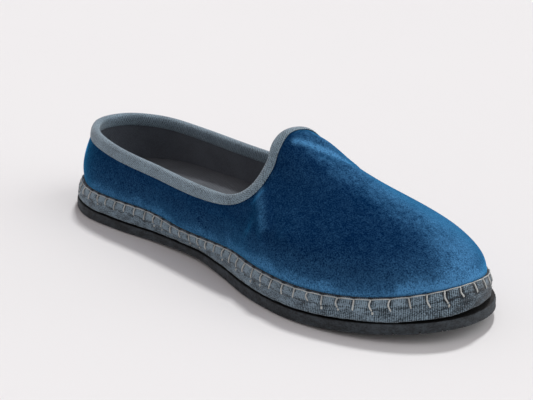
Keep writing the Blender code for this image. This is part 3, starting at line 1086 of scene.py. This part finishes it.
def make_blanket_stitches(cloth, ways):
    """The thread along the band's top with a leg down at each stitch, and a few cut thread ends."""
    chance = random.Random(STITCH_SEED + 1)
    proud = THREAD_RADIUS * THREAD_PROUD
    edge_proud = THREAD_RADIUS * EDGE_THREAD * THREAD_PROUD
    sunk = -THREAD_RADIUS * THREAD_SUNK
    paths = []
    for here, there in zip(ways, ways[1:] + [ways[0] + cloth.length]):
        run = []
        for step in range(LEG_STEPS + 1):
            share = step / LEG_STEPS
            drop = EDGE_DROP - EDGE_SAG * math.sin(math.pi * share)
            run.append(cloth.laid(here + (there - here) * share, drop, edge_proud))
        paths.append((run, EDGE_THREAD))
        lean = LEG_LEAN * chance.uniform(*LEG_LEAN_RANGE)
        bow = LEG_BOW * chance.uniform(*LEG_BOW_RANGE)
        foot_share = LEG_FOOT_SHARE + chance.uniform(-LEG_FOOT_JITTER, LEG_FOOT_JITTER)
        foot = cloth.height(here) * (1.0 - foot_share)
        leg = []
        for step in range(LEG_STEPS + 1):
            share = step / LEG_STEPS
            aside = lean * share - bow * math.sin(math.pi * share)
            leg.append(cloth.laid(here + aside, EDGE_DROP + (foot - EDGE_DROP) * share, proud))
        leg.append(cloth.laid(here + lean, foot + THREAD_RADIUS, sunk))
        paths.append((leg, 1.0))
        if chance.randrange(THREAD_END_EVERY) == 0:
            knot_way = here + lean + chance.uniform(*KNOT_ASIDE_RANGE) * KNOT_ASIDE
            knot_drop = foot + KNOT_DROP * chance.uniform(*KNOT_DROP_RANGE)
            knot = [cloth.laid(knot_way, knot_drop - KNOT_HALF, sunk),
                    cloth.laid(knot_way, knot_drop, proud),
                    cloth.laid(knot_way, knot_drop + KNOT_HALF, sunk)]
            paths.append((knot, KNOT_THREAD))
    thread = thread_finish("pale_grey_thread", BAND_THREAD_COLOURS)
    new_piece("blanket_stitches", thread_mesh(paths, THREAD_RADIUS), [thread])


# Tyre sole and its running stitches

def cut_faces(mesh, faces, point, normal):
    """Cut some faces along a plane."""
    parts = set(faces)
    for face in faces:
        parts.update(face.edges)
        parts.update(face.verts)
    bmesh.ops.bisect_plane(mesh, geom=list(parts), dist=WELD, plane_co=point, plane_no=normal)


def cut_tread(mesh):
    """Cut the sole's flat face into ribs along it and bricks across the ribs."""
    for line in TREAD_LINES:
        cut_faces(mesh, list(mesh.faces), Vector((0.0, line * MM, 0.0)), Vector((0.0, 1.0, 0.0)))
    reach = max(abs(vert.co.x) for vert in mesh.verts)
    columns = list(zip(TREAD_LINES, TREAD_LINES[1:]))
    for column, (low, high) in enumerate(columns):
        middle = (low + high) / 2 * MM
        if abs(middle) > BRICK_LIMIT or (high - low) * MM < WIDE_GROOVE:
            continue
        pitch = RIB_PITCH if abs(middle) < RIB_LIMIT else BRICK_PITCH
        lean = Vector((1.0, BRICK_LEAN if column % 2 else -BRICK_LEAN, 0.0))
        at = -reach + pitch * (BRICK_STAGGER if column % 2 else 1.0)
        while at < reach:
            faces = [face for face in mesh.faces if low * MM < face.calc_center_median().y < high * MM]
            cut_faces(mesh, faces, Vector((at, middle, 0.0)), lean)
            at += pitch


def in_wide_groove(face):
    """Whether a face of the cut sole lies in one of the long wide grooves."""
    across = face.calc_center_median().y / MM
    strips = zip(TREAD_LINES, TREAD_LINES[1:])
    return any(low < across < high for low, high in strips if (high - low) * MM < WIDE_GROOVE)


def sole_edge(welt_line, outward, outsole):
    """The outsole's widest line, found by looking out from the welt at half its height."""
    found = []
    for point, side in zip(welt_line.points, outward):
        inside = point - side * INSIDE
        middle = (outsole.bottom(inside) + outsole.top(inside)) / 2
        found.append(outsole.met(Vector((inside.x, inside.y, middle)), side))
    return found


def cut_edge(point, side, outsole, share, inset):
    """Where the sole's rough-cut edge lies at a share of the rubber's height."""
    felt = point - side * SOLE_FEEL * MM
    low = outsole.bottom(felt)
    height = low + (outsole.top(felt) - low) * share
    rough = CUT_ROUGHNESS * noise.noise(Vector((point.x, point.y, height)) / CUT_GRAIN)
    cut = point - side * (inset + max(0.0, rough) + CUT_ROUGHNESS * CUT_LEAST)
    return Vector((cut.x, cut.y, height))


def make_tyre_sole(edge_line, outward, outsole):
    """The rubber slab: tread blocks cut into its underside, a rough-cut edge and a hidden top."""
    mesh = flat_sheet(edge_line.points)
    cut_tread(mesh)
    bricks = [face for face in mesh.faces if face.calc_area() > SMALLEST_BRICK and not in_wide_groove(face)]
    notches = {vert for vert in mesh.verts if vert.is_boundary and len(vert.link_edges) > 2}
    bmesh.ops.inset_individual(mesh, faces=bricks, thickness=GROOVE_HALF, use_even_offset=True)
    block_verts = {vert for face in bricks for vert in face.verts}
    edge_verts = {vert for vert in mesh.verts if vert.is_boundary} - notches
    for face in mesh.faces:
        on_tread = block_verts.union(edge_verts).issuperset(face.verts)
        face.material_index = TREAD_RUBBER if on_tread else GROOVE_SHADE_RUBBER
    for vert in mesh.verts:
        vert.co.z = outsole.bottom(vert.co * SOLE_INSIDE)
        if vert in notches:
            vert.co.z += NOTCH_DEPTH
        elif vert not in block_verts and vert not in edge_verts:
            vert.co.z += GROOVE_DEPTH
    edges = [edge for edge in mesh.edges if edge.is_boundary]
    for share, inset in SOLE_SIDE_ROWS:
        made = bmesh.ops.extrude_edge_only(mesh, edges=edges)["geom"]
        edges = [edge for edge in only(BMEdge, made) if edge.is_boundary]
        for face in only(BMFace, made):
            face.material_index = EDGE_RUBBER
        for vert in {vert for edge in edges for vert in edge.verts}:
            place = edge_line.nearest(vert.co)
            vert.co = cut_edge(edge_line.points[place], outward[place], outsole, share, inset * MM)
    # The hidden top, in the recess under the band, gets the near-black finish as painted shade
    made = bmesh.ops.extrude_edge_only(mesh, edges=edges)["geom"]
    for face in only(BMFace, made):
        face.material_index = GROOVE_SHADE_RUBBER
    for vert in only(BMVert, made):
        place = edge_line.nearest(vert.co)
        vert.co -= outward[place] * SOLE_TOP_INSET + UP * SOLE_TOP_FALL
    close_holes(mesh)
    skin = Surface(mesh)
    edge = rubber_finish("tyre_rubber", EDGE_COLOURS)
    groove = rubber_finish("groove_shade_rubber", GROOVE_SHADE_COLOURS)
    tread = rubber_finish("tread_rubber", TREAD_COLOURS)
    piece = new_piece("tyre_sole", mesh, [edge, groove, tread], ["outsole"])
    piece.data.set_sharp_from_angle(angle=SHARP_ANGLE)
    return skin


def inset_loop(line, outward, distance):
    """A closed line drawn in by a distance and spaced evenly again."""
    drawn_in = [point - side * distance for point, side in zip(line.points, outward)]
    return even_loop(drawn_in[::ROW_EVERY], STATIONS)


def tread_level(point, tread):
    """The height of the tread's blocks at a point, also where it lies over a groove."""
    feelers = [(0, 0), (1, 0), (-1, 0), (0, 1), (0, -1)]
    return min(tread.bottom(point + Vector((along, across, 0)) * TREAD_FEELER) for along, across in feelers)


def sole_stitch(start, end, tread):
    """One stitch under the sole from a start to an end, sunk at both."""
    path = []
    for share, sunk in SOLE_STITCH_SHAPE:
        point = start.lerp(end, share)
        lift = SOLE_THREAD_SUNK if sunk else SOLE_THREAD_RADIUS - SOLE_THREAD_PROUD
        path.append(Vector((point.x, point.y, tread_level(point, tread) + lift)))
    return path


def make_stitch_slots(paths, tread):
    """A dark disc across each end of the stitches: painted shade in the slot where the thread goes into the
    rubber.
    """
    mesh = bmesh.new()
    for path in paths:
        along = path[-1] - path[0]
        turn = Matrix.Rotation(math.atan2(along.y, along.x), 3, "Z")
        for end in (path[0], path[-1]):
            slot = bmesh.ops.create_icosphere(mesh, subdivisions=1, radius=1.0)["verts"]
            bmesh.ops.scale(mesh, verts=slot, vec=SLOT_SIZE)
            bmesh.ops.rotate(mesh, verts=slot, cent=Vector(), matrix=turn)
            bmesh.ops.translate(mesh, verts=slot, vec=Vector((end.x, end.y, tread_level(end, tread))))
    dark = rubber_finish("slot_shade_rubber", SLOT_SHADE_COLOURS)
    new_piece("sole_stitch_slots", mesh, [dark])


def make_sole_stitches(edge_line, outward, tread):
    """Rows of running stitches under the sole and a few along its middle, sunk at both ends into slots."""
    paths = []
    for row in STITCH_ROWS:
        line = Line(inset_loop(edge_line, outward, row * MM))
        count = round(line.length / SOLE_STITCH_PITCH)
        toe = max(range(STATIONS), key=lambda place: line.points[place].x) / STATIONS
        gap = 1.0 / count - SOLE_STITCH_LENGTH / line.length
        for stitch in range(count):
            start = toe + gap / 2 + stitch / count
            end = start + SOLE_STITCH_LENGTH / line.length
            start_point, end_point = [line.points[round(way * STATIONS) % STATIONS] for way in (start, end)]
            paths.append(sole_stitch(start_point, end_point, tread))
    for first, last in CENTRE_STITCHES:
        start = Vector((*first, 0.0)) * MM
        whole = Vector((*last, 0.0)) * MM - start
        for stitch in range(round(whole.length / SOLE_STITCH_PITCH)):
            at = start + whole.normalized() * SOLE_STITCH_PITCH * stitch
            paths.append(sole_stitch(at, at + whole.normalized() * SOLE_STITCH_LENGTH, tread))
    thread = thread_finish("off_white_thread", SOLE_THREAD_COLOURS)
    new_piece("sole_stitches", thread_mesh([(path, 1.0) for path in paths], SOLE_THREAD_RADIUS), [thread])
    make_stitch_slots(paths, tread)


# Sock inside the shoe

def make_cotton_sock():
    """The cloth sock, cut to the insole's outline, dished along its middle and a little uneven."""
    solid = welded_copy("insole")
    insole = Surface(solid)
    low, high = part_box("insole")
    mesh = flat_sheet(even_loop(max(sharp_rims(solid), key=mean_height), SOCK_POINTS))
    for axis in (0, 1):
        across = Vector((1.0 - axis, axis, 0.0))
        for step in range(1, round((high - low)[axis] / SOCK_GRID)):
            cut_faces(mesh, list(mesh.faces), across * (low[axis] + step * SOCK_GRID), across)
    middle = (low.y + high.y) / 2
    half = (high.y - low.y) / 2
    for vert in mesh.verts:
        centred = faded(vert.co.y - middle, half * SOCK_DISH_SHARE)
        wave = SOCK_WAVE * noise.noise(vert.co / SOCK_WAVE_SIZE)
        vert.co.z = insole.top(vert.co * SOCK_INSIDE) + (wave - SOCK_DISH) * centred
    rim = [edge for edge in mesh.edges if edge.is_boundary]
    made = bmesh.ops.extrude_edge_only(mesh, edges=rim)["geom"]
    for vert in only(BMVert, made):
        vert.co.z = insole.bottom(vert.co * SOCK_INSIDE)
    close_holes(mesh)
    sock = cotton_finish("sock_cotton", SOCK_COLOURS, SOCK_TWILL)
    piece = new_piece("cotton_sock", mesh, [sock], ["insole"])
    piece.data.set_sharp_from_angle(angle=SHARP_ANGLE)


# Floor, light and camera

def make_stage():
    mesh = bmesh.new()
    bmesh.ops.create_grid(mesh, x_segments=FLOOR_CELLS, y_segments=FLOOR_CELLS, size=FLOOR_HALF)
    bmesh.ops.translate(mesh, verts=mesh.verts, vec=-UP * SOLE_THREAD_PROUD)
    data = bpy.data.meshes.new("pale_floor")
    mesh.to_mesh(data)
    mesh.free()
    finish = Finish("pale_floor", Specular_IOR_Level=0.1)
    tone = finish.speckle(*FLOOR_TONE)
    finish.dressed(finish.mixed(tone, *FLOOR_COLOURS), tone, FLOOR_ROUGHNESS, tone, FLOOR_RELIEF)
    data.materials.append(finish.material)
    floor = linked("pale_floor", data)


class Sweep(Finish):
    """The studio's white surroundings: bright round the horizon, dimmer overhead."""

    def __init__(self):
        world = bpy.data.worlds.new("white_sweep")
        world.use_nodes = True
        self.tree = world.node_tree
        self.shader = self.tree.nodes["Background"]
        way = self.node("ShaderNodeTexCoord", {}, {}, "Generated")
        height = self.between(self.part(way, "Z"), 0.0, SWEEP_HEIGHT)
        self.feed(self.shader.inputs["Color"], self.mixed(height, SWEEP_COLOUR, ZENITH_COLOUR))
        bpy.context.scene.world = world


def make_lamp(name, colour, strength, spread, direction):
    light = bpy.data.lights.new(name, "SUN")
    light.color = colour
    light.energy = strength
    light.angle = spread
    linked(name, light).rotation_euler = direction.to_track_quat("Z", "Y").to_euler()


def make_light():
    Sweep()
    make_lamp("key_from_behind", KEY_COLOUR, KEY_STRENGTH, KEY_SPREAD, KEY_FROM)
    make_lamp("broad_side_light", SIDE_COLOUR, SIDE_STRENGTH, SIDE_SPREAD, SIDE_FROM)
    bpy.context.scene.view_settings.view_transform = "Standard"


def make_camera():
    level = math.cos(CAMERA_ELEVATION)
    back = Vector((
        math.sin(CAMERA_AZIMUTH) * level,
        -math.cos(CAMERA_AZIMUTH) * level,
        math.sin(CAMERA_ELEVATION),
    ))
    data = bpy.data.cameras.new("photo_angle")
    data.lens = CAMERA_LENS
    data.clip_start = NEAREST_SEEN
    camera = linked("photo_angle", data)
    camera.location = back * CAMERA_DISTANCE
    camera.rotation_euler = (CAMERA_AIM - camera.location).to_track_quat("-Z", "Y").to_euler()
    bpy.context.scene.camera = camera


def make_shoe():
    rims = sorted(sharp_rims(welded_copy("upper")), key=mean_height)
    welt_line = Line(even_loop(max(rims[:2], key=line_length), STATIONS))
    collar_line = Line(even_loop(max(rims[2:], key=line_length), STATIONS))
    outward = outward_of(welt_line.points)
    ways = stitch_ways(welt_line)
    velvet = make_velvet_upper(welt_line, collar_line)
    make_collar_tape(collar_line, velvet)
    midsole = Surface(welded_copy("cloth_midsole"))
    span = band_span(welt_line, outward, midsole)
    cloth = make_woven_band(welt_line, outward, midsole, span, ways)
    make_blanket_stitches(cloth, ways)
    outsole = Surface(welded_copy("outsole"))
    edge_line = Line(even_loop(sole_edge(welt_line, outward, outsole)[::EDGE_EVERY], STATIONS))
    edge_outward = outward_of(edge_line.points)
    tread = make_tyre_sole(edge_line, edge_outward, outsole)
    make_sole_stitches(edge_line, edge_outward, tread)
    make_cotton_sock()


make_shoe()
make_stage()
make_light()
make_camera()
